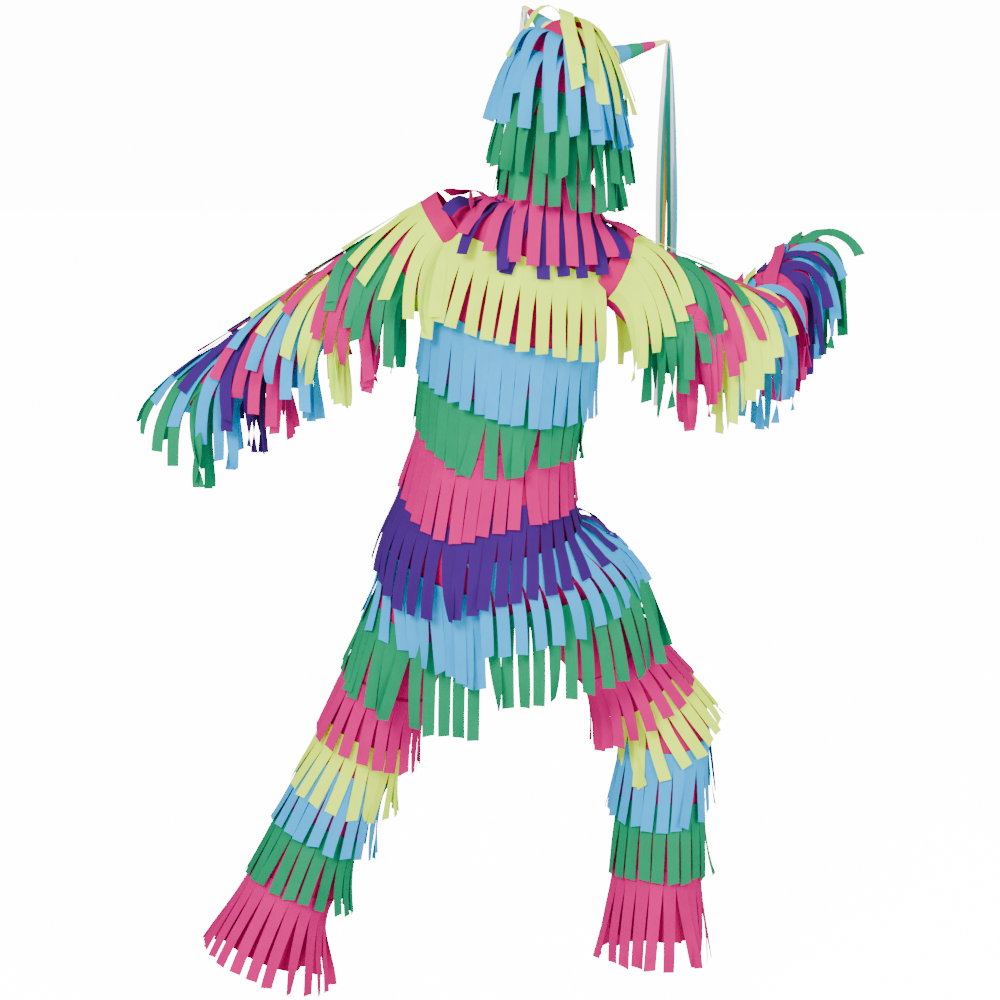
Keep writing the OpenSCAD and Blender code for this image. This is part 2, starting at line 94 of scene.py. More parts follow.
def felt(name, code, roughness=0.9, grain=900.0, depth=0.0004, through=0.0):
    """Matte cloth with a fine grain. The attribute "tone" makes each strip a little lighter or darker."""
    material = bpy.data.materials.new(name)
    material.use_nodes = True
    nodes, links = material.node_tree.nodes, material.node_tree.links
    shader = nodes["Principled BSDF"]
    shader.inputs["Roughness"].default_value = roughness
    shader.inputs["Specular IOR Level"].default_value = 0.03
    coordinates = nodes.new("ShaderNodeTexCoord")
    noise = nodes.new("ShaderNodeTexNoise")
    noise.inputs["Scale"].default_value = grain
    noise.inputs["Detail"].default_value = 3
    links.new(coordinates.outputs["Object"], noise.inputs["Vector"])
    blotches = nodes.new("ShaderNodeTexNoise")
    blotches.inputs["Scale"].default_value = BLOTCH_SCALE
    links.new(coordinates.outputs["Object"], blotches.inputs["Vector"])
    tone = nodes.new("ShaderNodeAttribute")
    tone.attribute_name = "tone"
    total = nodes.new("ShaderNodeMath")
    total.operation = "MULTIPLY_ADD"
    links.new(blotches.outputs["Fac"], total.inputs[0])
    total.inputs[1].default_value = BLOTCH_SHADE
    links.new(tone.outputs["Fac"], total.inputs[2])
    shade = nodes.new("ShaderNodeMath")
    shade.operation = "MULTIPLY_ADD"
    links.new(noise.outputs["Fac"], shade.inputs[0])
    shade.inputs[1].default_value = GRAIN_SHADE
    links.new(total.outputs[0], shade.inputs[2])
    scale = nodes.new("ShaderNodeVectorMath")
    scale.operation = "SCALE"
    scale.inputs[0].default_value = linear(code)[:3]
    lift = nodes.new("ShaderNodeMath")
    lift.operation = "ADD"
    links.new(shade.outputs[0], lift.inputs[0])
    lift.inputs[1].default_value = BASE_SHADE
    links.new(lift.outputs[0], scale.inputs["Scale"])
    links.new(scale.outputs["Vector"], shader.inputs["Base Color"])
    bump = nodes.new("ShaderNodeBump")
    bump.inputs["Distance"].default_value = depth
    bump.inputs["Strength"].default_value = 0.5
    links.new(noise.outputs["Fac"], bump.inputs["Height"])
    links.new(bump.outputs["Normal"], shader.inputs["Normal"])
    if through:
        add_glow(material, shader, scale, through)
    return material


def add_glow(material, shader, colour, share):
    """Lets some light through the cloth, as thin pale felt does."""
    nodes, links = material.node_tree.nodes, material.node_tree.links
    through = nodes.new("ShaderNodeBsdfTranslucent")
    links.new(colour.outputs["Vector"], through.inputs["Color"])
    blend = nodes.new("ShaderNodeMixShader")
    blend.inputs["Fac"].default_value = share
    links.new(shader.outputs[0], blend.inputs[1])
    links.new(through.outputs[0], blend.inputs[2])
    links.new(blend.outputs[0], nodes["Material Output"].inputs["Surface"])


def metal(name, code, roughness):
    material = bpy.data.materials.new(name)
    material.use_nodes = True
    nodes, links = material.node_tree.nodes, material.node_tree.links
    shader = nodes["Principled BSDF"]
    shader.inputs["Metallic"].default_value = 1.0
    shader.inputs["Base Color"].default_value = linear(code)
    scratches = nodes.new("ShaderNodeTexNoise")
    scratches.inputs["Scale"].default_value = 400
    spread = nodes.new("ShaderNodeMapRange")
    spread.inputs["To Min"].default_value = roughness - 0.08
    spread.inputs["To Max"].default_value = roughness + 0.08
    links.new(scratches.outputs["Fac"], spread.inputs["Value"])
    links.new(spread.outputs["Result"], shader.inputs["Roughness"])
    return material


FELT = {
    "magenta": felt("felt_magenta", "#b60464", through=0.12),
    "yellow": felt("felt_yellow", "#deff10", through=0.18),
    "cyan": felt("felt_cyan", "#0098d8", through=0.12),
    "green": felt("felt_green", "#077a50", through=0.10),
    "purple": felt("felt_purple", "#371660", through=0.06),
}
SUIT_CLOTH = felt("suit_cloth", "#ab0456", grain=1400.0, depth=0.0002)
HORN_CLOTH = {name: felt("horn_" + name, code, grain=1200.0, depth=0.0002) for name, code in (
    ("yellow", "#f3f56a"), ("cyan", "#1d8fc0"), ("green", "#0d7c58"), ("magenta", "#a81060"))}
RIBBON = [felt("ribbon_" + name, code, roughness=0.45, grain=2200.0, depth=0.0001) for name, code in (
    ("white", "#f4eeee"), ("teal", "#0a8a80"), ("gold", "#d8930a"), ("green", "#0a6a60"),
    ("pink", "#ecd0d4"), ("cyan", "#22a5c4"))]
TAPE = felt("zip_tape", "#a82a5c", grain=2600.0, depth=0.0002)
ZIP_METAL = metal("zip_metal", "#c6c9ce", 0.32)

# ---------------------------------------------------------------- shapes, as the CAD part has them


def unit(v):
    return v / np.maximum(np.linalg.norm(v, axis=-1, keepdims=True), 1e-12)


def heading(compass, climb):
    c, k = math.radians(compass), math.radians(climb)
    return np.array([math.cos(k) * math.cos(c), math.cos(k) * math.sin(c), math.sin(k)])


def slant(sideways, forwards):
    s, f = math.radians(sideways), math.radians(forwards)
    return np.array([math.sin(s) * math.cos(f), math.sin(f), -math.cos(s) * math.cos(f)])


SHOULDER = [np.array([-0.172, 0.010, -0.055]), np.array([0.112, 0.010, -0.115])]
HIP = [np.array([-0.184, 0.120, -0.653]), np.array([-0.028, 0.120, -0.647])]
UPPER_ARM = [heading(175, -33), heading(14, -24)]
FOREARM = [heading(172, -34), heading(56, 23)]
THIGH = [slant(-23, 11), slant(39, 14)]
SHIN = [slant(-26, -6), slant(-3, -5)]
UPPER_ARM_LENGTH, FOREARM_LENGTH = 0.275, 0.268
THIGH_LENGTH, SHIN_LENGTH = 0.428, 0.440
ARM_LENGTH = UPPER_ARM_LENGTH + FOREARM_LENGTH
LEG_LENGTH = THIGH_LENGTH + SHIN_LENGTH
ELBOW = [SHOULDER[s] + UPPER_ARM_LENGTH * UPPER_ARM[s] for s in (LEFT, RIGHT)]
WRIST = [ELBOW[s] + FOREARM_LENGTH * FOREARM[s] for s in (LEFT, RIGHT)]
KNEE = [HIP[s] + THIGH_LENGTH * THIGH[s] for s in (LEFT, RIGHT)]
ANKLE = [KNEE[s] + SHIN_LENGTH * SHIN[s] for s in (LEFT, RIGHT)]
SHOULDER_RADIUS, ELBOW_RADIUS, CUFF_RADIUS = 0.060, 0.053, 0.045
LEG_TOP_RADIUS, KNEE_RADIUS, HEM_RADIUS = 0.090, 0.080, 0.084

NECK_LEVEL, YOKE_LEVEL, SEAT_LEVEL = 0.024, -0.060, -0.655
HALF_WIDTH = [(SEAT_LEVEL, 0.205), (-0.600, 0.172), (-0.550, 0.158), (-0.441, 0.138), (-0.340, 0.146),
              (-0.224, 0.154), (-0.110, 0.153), (YOKE_LEVEL, 0.140), (-0.028, 0.100), (-0.008, 0.074),
              (NECK_LEVEL, 0.068)]
BACK_DEPTH = [(SEAT_LEVEL, 0.128), (-0.550, 0.118), (-0.441, 0.098), (-0.224, 0.110), (-0.110, 0.104),
              (YOKE_LEVEL, 0.092), (-0.028, 0.080), (-0.008, 0.070), (NECK_LEVEL, 0.068)]
FRONT_DEPTH = [(SEAT_LEVEL, 0.118), (-0.110, 0.118), (YOKE_LEVEL, 0.110), (-0.028, 0.086), (-0.008, 0.070),
               (NECK_LEVEL, 0.068)]
SPINE = [(SEAT_LEVEL, -0.070), (-0.600, -0.1134), (YOKE_LEVEL, -0.0313), (-0.008, -0.003),
         (NECK_LEVEL, 0.002)]
SIDE_DROP = [(SEAT_LEVEL, -0.024), (-0.550, 0.002), (-0.441, 0.014), (-0.340, 0.022), (-0.224, 0.034),
             (-0.110, 0.048), (YOKE_LEVEL, 0.040), (-0.028, 0.012), (-0.008, 0.0), (NECK_LEVEL, 0.0)]
BACK_LEAN = 0.19


def lookup(level, table):
    x, y = zip(*table)
    return np.interp(level, x, y)


def bodice_rise(level):
    neck_part = 0.0163 * np.clip((level + 0.008) / (YOKE_LEVEL + 0.008), 0, 1)
    return np.where(level > YOKE_LEVEL, neck_part, 0.013 - 0.055 * level)


def bodice(a, level, off):
    """A point on the bodice. Angle 90 degrees is the front; levels go down from the neck."""
    a = np.radians(a)
    depth = np.where(np.sin(a) > 0, lookup(level, FRONT_DEPTH), lookup(level, BACK_DEPTH)) + off
    width = lookup(level, HALF_WIDTH) + off
    return np.stack([
        lookup(level, SPINE) + width * np.cos(a),
        -BACK_LEAN * level + depth * np.sin(a),
        level + bodice_rise(level) * np.sin(a) - lookup(level, SIDE_DROP) * np.cos(a),
    ], -1)


HOOD_HEIGHT, HOOD_HALF_WIDTH, HOOD_HALF_DEPTH, HOOD_LEAN, HOOD_SEAM = 0.268, 0.086, 0.100, 0.19, 0.028
HOOD_SHARE = [(0, 0.84), (0.2, 0.95), (0.5, 1.0), (0.72, 0.95), (0.86, 0.76), (0.95, 0.48), (1.0, 0.16)]


def hood(a, level, off):
    """A point on the hood. Levels go up from the neck seam."""
    a = np.radians(a)
    size = lookup(level / HOOD_HEIGHT, HOOD_SHARE)
    turned = np.clip(level / 0.06, 0, 1)
    return np.stack([
        0.002 + HOOD_LEAN * level + (HOOD_HALF_WIDTH * size + off) * np.cos(a),
        0.002 + (HOOD_HALF_DEPTH * size + off) * np.sin(a),
        HOOD_SEAM + level + turned * (0.009 * np.sin(a) - 0.016 * np.cos(a)) * size,
    ], -1)


BEND = 0.062


def limb(start, first, second, length, radii, sag=0.0, sag_level=0.14):
    """A sleeve or leg that bends once, at length. The level is the distance from start.

    Its underside hangs lower than the limb by sag at sag_level, and less away from there.
    """

    def point(a, level, off):
        a, level = np.broadcast_arrays(np.radians(np.asarray(a, float)), np.asarray(level, float))
        share = np.clip(0.5 + (level - length) / (2 * BEND), 0, 1)[..., None]
        d = unit(first + (second - first) * share)
        forward = unit(np.array([0.0, 1.0, 0.0]) - d * d[..., 1:2])
        out = np.cos(a)[..., None] * np.cross(d, forward) + np.sin(a)[..., None] * forward
        middle = start + np.minimum(level, length)[..., None] * first
        middle = middle + np.maximum(level - length, 0)[..., None] * second
        slack = sag * np.exp(-((level - sag_level) / 0.1) ** 2) * np.clip(-out[..., 2], 0, 1)
        return middle + (lookup(level, radii) + off + slack)[..., None] * out

    return point


ARM_SAG = (0.018, 0.050)
ARM = [limb(SHOULDER[s], UPPER_ARM[s], FOREARM[s], UPPER_ARM_LENGTH,
            [(0, SHOULDER_RADIUS), (UPPER_ARM_LENGTH, ELBOW_RADIUS), (ARM_LENGTH, CUFF_RADIUS)],
            sag=ARM_SAG[s])
       for s in (LEFT, RIGHT)]
LEG = [limb(HIP[s], THIGH[s], SHIN[s], THIGH_LENGTH,
            [(0, LEG_TOP_RADIUS), (THIGH_LENGTH, KNEE_RADIUS), (LEG_LENGTH, HEM_RADIUS)])
       for s in (LEFT, RIGHT)]

# ---------------------------------------------------------------- how far a point is outside the suit


def rod_gap(p, a, b, ra, rb):
    """Distance from points p to a rod with round ends whose radius goes from ra to rb."""
    along = b - a
    t = np.clip((p - a) @ along / (along @ along), 0, 1)
    return np.linalg.norm(p - (a + t[:, None] * along), axis=1) - (ra + (rb - ra) * t)


def bodice_gap(p):
    """Distance from points to the bodice, taking it as a stack of ellipses."""
    level = p[:, 2].copy()
    for _ in range(3):
        dx = (p[:, 0] - lookup(level, SPINE)) / lookup(level, HALF_WIDTH)
        dy = p[:, 1] + BACK_LEAN * level
        dy = dy / np.where(dy > 0, lookup(level, FRONT_DEPTH), lookup(level, BACK_DEPTH))
        reach = np.maximum(np.hypot(dx, dy), 1e-6)
        wide = np.minimum(1, reach)
        level = p[:, 2] - wide * (bodice_rise(level) * dy - lookup(level, SIDE_DROP) * dx) / reach
        level = np.clip(level, SEAT_LEVEL, NECK_LEVEL)
    depth = np.where(dy > 0, lookup(level, FRONT_DEPTH), lookup(level, BACK_DEPTH))
    local = np.hypot(lookup(level, HALF_WIDTH) * dx, depth * dy) / reach
    side = (reach - 1) * local
    past = np.maximum(SEAT_LEVEL - p[:, 2] - 0.03, 0) + np.maximum(p[:, 2] - 0.06, 0)
    return np.where(past > 0, np.hypot(np.maximum(side, 0), past), side)


# The hood as an egg on a rod, and the hand that holds each cuff open
EGG_MIDDLE = np.array([0.030, 0.002, 0.170])
EGG_SIZE = np.array([0.090, 0.105, 0.132])
NECK_BASE, NECK_TOP = np.array([0.002, 0.0, 0.0]), np.array([0.024, 0.002, 0.12])
NECK_BASE_RADIUS, NECK_TOP_RADIUS = 0.070, 0.080
HAND_LENGTH, HAND_RADIUS, FINGER_RADIUS = 0.05, 0.040, 0.038
# Where the slack under a sleeve begins and ends, its share of the sag, and how softly limbs join the bodice
SLACK_START, SLACK_END, SLACK_SHARE = 0.06, 0.22, 0.6
LEG_JOIN, ARM_JOIN = 0.05, 0.02


def hood_gap(p):
    """Distance from points to the hood and the neck under it."""
    q = (p - EGG_MIDDLE) / EGG_SIZE
    reach = np.maximum(np.linalg.norm(q, axis=1), 1e-6)
    egg = (reach - 1) * np.linalg.norm(q * EGG_SIZE, axis=1) / reach
    neck = rod_gap(p, NECK_BASE, NECK_TOP, NECK_BASE_RADIUS, NECK_TOP_RADIUS)
    return np.minimum(egg, neck)


def soft_union(a, b, width):
    share = np.clip(0.5 + 0.5 * (b - a) / width, 0, 1)
    return b + (a - b) * share - width * share * (1 - share)


def suit_gap(p):
    """Distance from points to the whole suit, with the hands that hold the cuffs open."""
    gap = bodice_gap(p)
    for s in (LEFT, RIGHT):
        leg = np.minimum(rod_gap(p, HIP[s], KNEE[s], LEG_TOP_RADIUS, KNEE_RADIUS),
                         rod_gap(p, KNEE[s], ANKLE[s], KNEE_RADIUS, HEM_RADIUS))
        gap = soft_union(gap, leg, LEG_JOIN)
        arm = np.minimum(rod_gap(p, SHOULDER[s], ELBOW[s], SHOULDER_RADIUS, ELBOW_RADIUS),
                         rod_gap(p, ELBOW[s], WRIST[s], ELBOW_RADIUS, CUFF_RADIUS))
        hand = rod_gap(p, WRIST[s], WRIST[s] + HAND_LENGTH * FOREARM[s], HAND_RADIUS, FINGER_RADIUS)
        low = SHOULDER[s] + SLACK_SHARE * ARM_SAG[s] * DOWN
        slack = rod_gap(p, low + SLACK_START * UPPER_ARM[s], low + SLACK_END * UPPER_ARM[s],
                        SHOULDER_RADIUS, ELBOW_RADIUS)
        gap = soft_union(gap, np.minimum(np.minimum(arm, slack), hand), ARM_JOIN)
    return np.minimum(gap, hood_gap(p))


def gap_and_out(p):
    """Distance outside the suit, and the direction straight out of it."""
    h = 0.002
    steps = np.eye(3) * h
    slopes = np.stack([suit_gap(p + e) - suit_gap(p - e) for e in steps], -1)
    return suit_gap(p), unit(slopes)


# ---------------------------------------------------------------- meshes


def new_mesh(name, vertices, faces, materials, tone=None, face_material=None):
    mesh = bpy.data.meshes.new(name)
    mesh.from_pydata([tuple(v) for v in vertices], [], [tuple(int(i) for i in f) for f in faces])
    for material in materials:
        mesh.materials.append(material)
    if tone is not None:
        mesh.attributes.new("tone", "FLOAT", "POINT").data.foreach_set("value", np.asarray(tone, np.float32))
    if face_material is not None:
        mesh.polygons.foreach_set("material_index", np.asarray(face_material, np.int32))
    mesh.polygons.foreach_set("use_smooth", [True] * len(mesh.polygons))
    mesh.update()
    obj = bpy.data.objects.new(name, mesh)
    bpy.context.scene.collection.objects.link(obj)
    return obj


def thicken(obj, thickness):
    """Gives the mesh its thickness, with crisp edges."""
    solidify = obj.modifiers.new("thickness", "SOLIDIFY")
    solidify.thickness = thickness
    solidify.offset = 0
    evaluated = obj.evaluated_get(bpy.context.evaluated_depsgraph_get())
    mesh = bpy.data.meshes.new_from_object(evaluated)
    mesh.set_sharp_from_angle(angle=math.radians(50))
    obj.modifiers.clear()
    obj.data = mesh


def grid_faces(rows, columns, loop=False):
    """Quads of a grid of points stored row after row, closed round each row if loop."""
    last = columns if loop else columns - 1
    return [(r * columns + c, r * columns + (c + 1) % columns,
             (r + 1) * columns + (c + 1) % columns, (r + 1) * columns + c)
            for r in range(rows - 1) for c in range(last)]


# ---------------------------------------------------------------- fringe

STRIP = 0.025
FELT_THICKNESS = 0.0012
HEADER = 0.026
HEADER_STEPS = 2
STEP = 0.0115
LEVEL_SEAM = (0.0, 270, 40)
RAGGED_ENDS = 0.0022


def dipped(a, level, sense, dip):
    """The level of a seam that runs dip[0] lower near the angle dip[1], over dip[2] degrees each way."""
    depth, middle, width = dip
    return level + sense * depth * np.exp(-(((a - middle) / width) ** 2))


def seam_points(shape, level, span, off, sense, dip):
    """Points along a row's seam, one at each edge between strips, and the seam's length."""
    a = np.linspace(span[0], span[1], 361)
    p = shape(a, dipped(a, level, sense, dip), off)
    run = np.concatenate([[0], np.cumsum(np.linalg.norm(np.diff(p, axis=0), axis=1))])
    count = max(3, round(run[-1] / STRIP))
    return np.interp(np.linspace(0, run[-1], count + 1), run, a), run[-1]


def walk(p, t, distance, clear):
    """One step from p along t, kept at least clear outside the suit. Returns the point and the direction."""
    q = p + distance * t
    gap, out = gap_and_out(q)
    q = q + np.maximum(clear - gap, 0)[:, None] * out
    t = unit(q - p)
    return p + distance * t, t, gap, out


def lay_strips(p, w, t, length, way, strip, lean, layers, turn, under_turn, fall, flare, drift, twist,
               curl, stray):
    """Walks every strip of a row at once, from its header's lower edge. Returns left, middle and right lines.

    A strip keeps to the direction that it was sewn in, except for a share, turn, of the way to straight
    down. Where the cloth behind it faces the ground, under_turn takes over, and the strip hangs free.
    """
    count = len(p)
    steps = max(4, round(length / STEP))
    distance = length / steps
    half = np.linalg.norm(w, axis=1, keepdims=True)
    w = w / half
    lean = random.normal(0, lean, count)
    roll = random.normal(0, twist, count)
    bow = random.normal(0.2, 1, count) * curl
    odd = random.random(count) < stray
    roll = np.where(odd, roll + np.sign(lean) * 10, roll)
    side = np.where(odd, np.sign(lean) * 4 + lean * 2, lean)
    first_out = gap_and_out(p)[1]
    lines = []
    for k in range(steps):
        s = (k + 1) / steps
        gap, out = gap_and_out(p)
        free = np.clip((gap - 0.008) / 0.035, 0, 1)[:, None]
        under = np.clip(-2.2 * out[:, 2:], 0, 1)
        share = turn + (under_turn - turn) * under
        goal = unit(way * (1 - share) + DOWN * share + flare * first_out + drift)
        t = unit(t + distance * (turn_rate(s) * (goal - t) + free * fall * (DOWN - t)))
        t = unit(t + distance * side[:, None] * w * (1 - 0.5 * s))
        t = unit(t + distance * bow[:, None] * np.cross(w, t) * s)
        clear = layers * (0.0012 + 0.0065 * s)
        p, t, gap, out = walk(p, t, distance, clear)
        w = unit(w - (w * t).sum(1, keepdims=True) * t)
        touch = np.clip(1 - (gap - clear) / 0.02, 0, 1)[:, None]
        w = unit(w - 0.5 * touch * (w * out).sum(1, keepdims=True) * out)
        angle = (roll * distance * s * (1.6 - touch[:, 0]))[:, None]
        w = unit(w * np.cos(angle) + np.cross(t, w) * np.sin(angle))
        width = half + (0.5 * strip - half) * min(1, 2.5 * s)
        cup = np.cross(w, t) * 0.0005 * s
        lines.append(np.stack([p - w * width, p + cup, p + w * width], 1))
    return lines


def turn_rate(s):
    """How quickly a strip turns towards its resting direction: mostly near its seam."""
    return 26 * (1 - s) + 4


def fringe(name, colour, rows, nodes, body=None, blend=None):
    points, faces, tones = [], [], []
    width = length = 0
    for row in rows:
        stack, seam = lay_row(**row)
        count, rings = stack.shape[:2]
        for strip in stack:
            base = len(points)
            points.extend(strip.reshape(-1, 3))
            faces.extend(tuple(base + i for i in f) for f in grid_faces(rings, 3))
        tones.extend(np.repeat(random.normal(0, 0.03, count), rings * 3))
        width, length = width + seam, row["length"]
    obj = new_mesh(name, points, faces, [FELT[colour]], tones)
    thicken(obj, FELT_THICKNESS)
    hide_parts(*nodes)
    if blend:
        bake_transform(obj)
    else:
        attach(obj, body)


def lay_row(shape, level, span, length, turn, sense=1, off=0.0016, header=HEADER, layers=1.0,
            strip=0.0225, lean=0.6, under_turn=0.85, fall=14, flare=0.0, drift=(0.0, 0.0, 0.0),
            dip=LEVEL_SEAM, twist=5, curl=2.2, stray=0.04):
    """The strips of one row, as an array of strips, rings, three points across. Also its seam's length."""
    a, seam = seam_points(shape, level, span, off, sense, dip)
    level = dipped(a, level, sense, dip)
    here = shape(a, level, off)
    way = unit(shape(a, level + sense * 0.01, off) - here)
    rings = [here]
    along = way
    for _ in range(HEADER_STEPS):
        here, along, _, _ = walk(here, along, header / HEADER_STEPS, off)
        rings.append(here)
    left, right = here[:-1], here[1:]
    strips = lay_strips((left + right) / 2, (right - left) / 2, unit(along[:-1] + along[1:]),
                        length - header, unit(way[:-1] + way[1:]), strip, lean, layers,
                        turn, under_turn, fall, flare, np.array(drift), twist, curl, stray)
    tops = [np.stack([e[:-1], (e[:-1] + e[1:]) / 2, e[1:]], 1) for e in rings]
    stack = np.stack(tops + strips, 1)
    end = unit(stack[:, -1, 1] - stack[:, -2, 1])
    trim = random.normal(0, RAGGED_ENDS, (len(end), 2))
    for corner, amount in ((0, trim[:, :1]), (1, trim.mean(1, keepdims=True)), (2, trim[:, 1:])):
        stack[:, -1, corner] += end * amount
    return stack, seam


# ---------------------------------------------------------------- the suit's cloth

CLOTH = 0.0016
# Levels where a limb's cloth is split in two, and where the zip's lower end meets the front seam
SLEEVE_SPLIT, LEG_SPLIT, SPLIT_OVERLAP = 0.16, 0.26, 0.004
FRONT_SEAM_TOP = -0.472


def cloth_piece(name, shape, spans, levels, nodes, off=-0.001, columns=64):
    """Base cloth over parts of a shape, between angle limits."""
    points, faces = [], []
    for a0, a1 in spans:
        loop = a1 - a0 == 360
        angles = np.linspace(a0, a1, columns, endpoint=not loop)
        grid = np.stack([shape(angles, level, off) for level in levels])
        base = len(points)
        points.extend(grid.reshape(-1, 3))
        faces.extend(tuple(base + i for i in q) for q in grid_faces(len(levels), columns, loop))
    obj = new_mesh(name, points, faces, [SUIT_CLOTH])
    thicken(obj, CLOTH)
    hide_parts(*nodes)
    return obj


def make_cloth():
    levels = np.linspace(NECK_LEVEL, SEAT_LEVEL, 46)
    body = cloth_piece("bodice_cloth", bodice, [(97.2, 442.8)], levels,
                       ["back_panel", "front_left_panel", "front_right_panel"], columns=110)
    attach(body, "suit")
    for s, side in enumerate(SIDES):
        piece = cloth_piece(side + "_shoulder_cloth", ARM[s], [(0, 360)],
                            np.linspace(-0.02, SLEEVE_SPLIT, 12), [side + "_upper_sleeve"], columns=40)
        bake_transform(piece)
        piece = cloth_piece(side + "_sleeve_cloth", ARM[s], [(0, 360)],
                            np.linspace(SLEEVE_SPLIT - SPLIT_OVERLAP, ARM_LENGTH, 30),
                            [side + "_forearm_sleeve"], columns=40)
        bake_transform(piece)
        piece = cloth_piece(side + "_thigh_cloth", LEG[s], [(0, 360)], np.linspace(-0.03, LEG_SPLIT, 20),
                            [side + "_thigh"], columns=48)
        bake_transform(piece)
        piece = cloth_piece(side + "_leg_cloth", LEG[s], [(0, 360)],
                            np.linspace(LEG_SPLIT - SPLIT_OVERLAP, LEG_LENGTH - 0.02, 40),
                            [side + "_shin"], columns=48)
        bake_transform(piece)


FACE_X, FACE_Z = 0.0244, 0.146
FACE_HALF_WIDTH, FACE_HALF_HEIGHT = 0.062, 0.080
BINDING_RADIUS = 0.0032


def face_reach(p):
    """1 on the edge of the face opening, less inside it and more outside."""
    reach = np.hypot((p[..., 0] - FACE_X) / FACE_HALF_WIDTH, (p[..., 2] - FACE_Z) / FACE_HALF_HEIGHT)
    return np.where(p[..., 1] < 0.02, 9.0, reach)


def hood_front(x, z):
    """The hood's front at the given x and z."""
    level = z - HOOD_SEAM
    for _ in range(4):
        size = lookup(level / HOOD_HEIGHT, HOOD_SHARE)
        c = np.clip((x - 0.002 - HOOD_LEAN * level) / (HOOD_HALF_WIDTH * size), -1, 1)
        level = z - HOOD_SEAM - (0.009 * np.sqrt(1 - c * c) - 0.016 * c) * size
    return 0.002 + HOOD_HALF_DEPTH * size * np.sqrt(1 - c * c)


def make_hood_cloth():
    levels = HOOD_HEIGHT * np.sin(np.linspace(-0.06, math.pi / 2, 48))
    columns = 120
    grid = np.stack([hood(np.linspace(0, 360, columns, endpoint=False), level, -0.001) for level in levels])
    points = grid.reshape(-1, 3)
    quads = [q for q in grid_faces(len(levels), columns, True) if face_reach(points[list(q)].mean(0)) > 1]
    reach = face_reach(points)
    inside = reach < 1
    middle = np.array([FACE_X, 0, FACE_Z])
    moved = middle + (points - middle) / np.maximum(reach, 0.05)[:, None]
    moved[:, 1] = hood_front(moved[:, 0], moved[:, 2]) - 0.001
    points = np.where(inside[:, None], moved, points)
    used = sorted({i for q in quads for i in q})
    place = {old: new for new, old in enumerate(used)}
    piece = new_mesh("hood_cloth", points[used], [[place[i] for i in q] for q in quads], [SUIT_CLOTH])
    thicken(piece, CLOTH)
    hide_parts("hood_shell")
    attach(piece, "hood")


def tube(name, path, radius, material, around=10):
    """A closed ring of round cord along a path."""
    along = unit(np.roll(path, -1, 0) - np.roll(path, 1, 0))
    side = unit(np.cross(along, [0.0, 1.0, 0.0]))
    top = np.cross(side, along)
    turn = np.linspace(0, 2 * math.pi, around, endpoint=False)[:, None, None]
    rings = path + radius * (np.cos(turn) * side + np.sin(turn) * top)
    points = rings.transpose(1, 0, 2).reshape(-1, 3)
    faces = grid_faces(len(path), around, True)
    last = (len(path) - 1) * around
    faces += [(last + c, last + (c + 1) % around, (c + 1) % around, c) for c in range(around)]
    return new_mesh(name, points, faces, [material])


def make_binding():
    t = np.linspace(0, 2 * math.pi, 96, endpoint=False)
    x, z = FACE_X + FACE_HALF_WIDTH * np.cos(t), FACE_Z + FACE_HALF_HEIGHT * np.sin(t)
    ring = tube("face_binding", np.stack([x, hood_front(x, z), z], -1), BINDING_RADIUS, SUIT_CLOTH)
    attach(ring, "hood")


def make_front_seam():
    """Below the zip the two fronts are sewn together."""
    piece = cloth_piece("front_seam_cloth", bodice, [(81, 99)], np.linspace(FRONT_SEAM_TOP, SEAT_LEVEL, 14),
                        ["front_left_panel", "front_right_panel"], off=-0.0025, columns=10)
    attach(piece, "suit")


make_cloth()
make_front_seam()
make_hood_cloth()
make_binding()

# ---------------------------------------------------------------- fringe on the bodice and seat

BACK_AND_SIDES = (102, 438)
CHEST_LEVEL = -0.084


def bodice_row(level, length, **more):
    options = dict(shape=bodice, level=level, span=BACK_AND_SIDES, length=length, sense=-1, turn=0.35)
    return {**options, **more}


def make_bodice_fringe():
    collar = dict(header=0.02, turn=0.9, twist=4)
    fringe("collar_magenta", "magenta",
           [bodice_row(0.018, 0.135, off=0.010, layers=2.2, stray=0.08, **collar)],
           ["collar_fringe_magenta"], "suit")
    fringe("collar_purple", "purple", [bodice_row(0.008, 0.148, off=0.003, layers=1.3, **collar)],
           ["collar_fringe_purple"], "suit")
    fringe("chest_yellow", "yellow",
           [bodice_row(CHEST_LEVEL, span=span, length=0.155, header=0.045, turn=0.2, stray=0)
            for span in ((206, 334), (102, 152), (28, 78))],
           ["chest_fringe_yellow"], "suit")
    fringe("midriff_cyan", "cyan", [bodice_row(-0.205, 0.142, dip=(0.020, 275, 45))],
           ["midriff_fringe_cyan"], "suit")
    fringe("waist_green", "green",
           [bodice_row(-0.292, 0.138, dip=(0.040, 252, 38), stray=0.14)],
           ["waist_fringe_green"], "suit")
    fringe("hip_magenta", "magenta",
           [bodice_row(-0.391, 0.144, dip=(0.045, 238, 38), stray=0.06)],
           ["hip_fringe_magenta"], "suit")
    fringe("seat_purple", "purple",
           [bodice_row(-0.492, 0.172, dip=(0.050, 232, 45))],
           ["seat_fringe_purple"], "suit")


make_bodice_fringe()


LEFT_SPREAD, RIGHT_SPREAD, FRONT_SPREAD, BACK_TAPER = 0.5, 0.9, 0.22, -0.3
SEAT_EDGE = SEAT_LEVEL + 0.005


